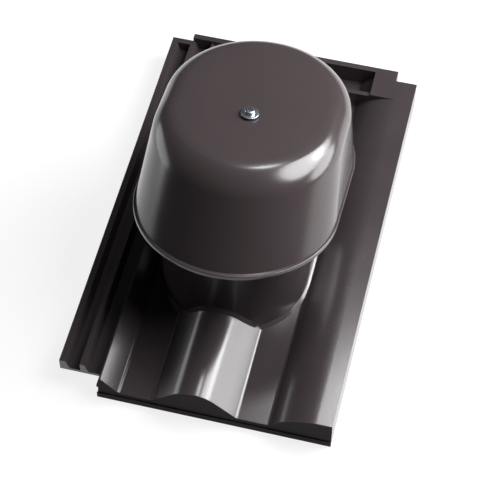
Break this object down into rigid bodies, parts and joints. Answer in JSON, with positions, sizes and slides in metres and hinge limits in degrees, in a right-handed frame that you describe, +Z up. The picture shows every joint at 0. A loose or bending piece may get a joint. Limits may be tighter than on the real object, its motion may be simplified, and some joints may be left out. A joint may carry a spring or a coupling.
{
  "type": "roof tile vent",
  "caption": "Plastic interlocking roof tile with rolls, side and head locks and an oblong leaning tower under a domed screw-on hood, letting air from a duct out through the roof.",
  "frame": {"origin": "middle of the duct spigot's lower end, in the plane of the tile's lowest edges", "axes": "+Z up out of the tile, +Y up the roof towards the head, +X to the cover roll's side"},
  "size_m": [0.264, 0.4312, 0.1974],
  "materials": {
    "plastic": "moulded plastic in a dark brown-grey, satin gloss",
    "seal": "black rubber",
    "zinc": "bright zinc plate"
  },
  "bodies": {
    "root": {"base_tile": "plastic", "hood": "plastic", "hood_seal": "seal", "hood_washer": "zinc", "hood_screw": "zinc"}
  },
  "joints": []
}
